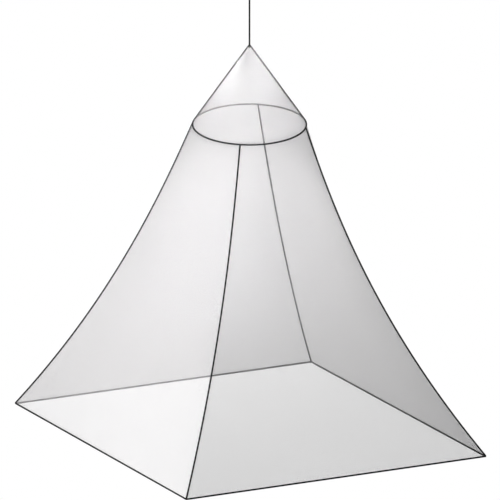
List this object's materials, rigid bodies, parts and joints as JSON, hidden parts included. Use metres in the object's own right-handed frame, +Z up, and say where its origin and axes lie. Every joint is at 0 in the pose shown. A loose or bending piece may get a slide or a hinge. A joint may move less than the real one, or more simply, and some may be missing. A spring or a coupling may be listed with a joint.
{
  "type": "mosquito net canopy with hoop",
  "caption": "Sheer mosquito net hung on a cord: a hoop spreads a conical crown above and flared panels below, down to a rectangular open hem, all seams bound in dark tape.",
  "frame": {"origin": "centre of the top face of the ceiling plate, straight above the crown's apex", "axes": "+Z up out of the plate into the ceiling, X along the hem's short sides, Y along its long sides"},
  "size_m": [1.9218, 2.1968, 2.6664],
  "materials": {
    "net": "sheer white polyester net, fine holes",
    "tape": "matt woven polyester tape, dark",
    "rod": "satin dark coated steel",
    "cord": "braided polyester cord, dark",
    "steel": "plated steel"
  },
  "bodies": {
    "root": {"panel_back": "net", "panel_left": "net", "panel_front": "net", "panel_right": "net", "crown_front": "net", "crown_back": "net", "binding_right_back": "tape", "binding_left_back": "tape", "binding_left_front": "tape", "binding_right_front": "tape", "binding_crown_left": "tape", "binding_crown_right": "tape", "hem_front": "tape", "hem_right": "tape", "hem_back": "tape", "hem_left": "tape", "hoop": "rod", "cord": "cord", "cord_knot": "cord", "cord_loop": "cord", "ceiling_hook": "steel", "ceiling_plate": "steel"}
  },
  "joints": []
}
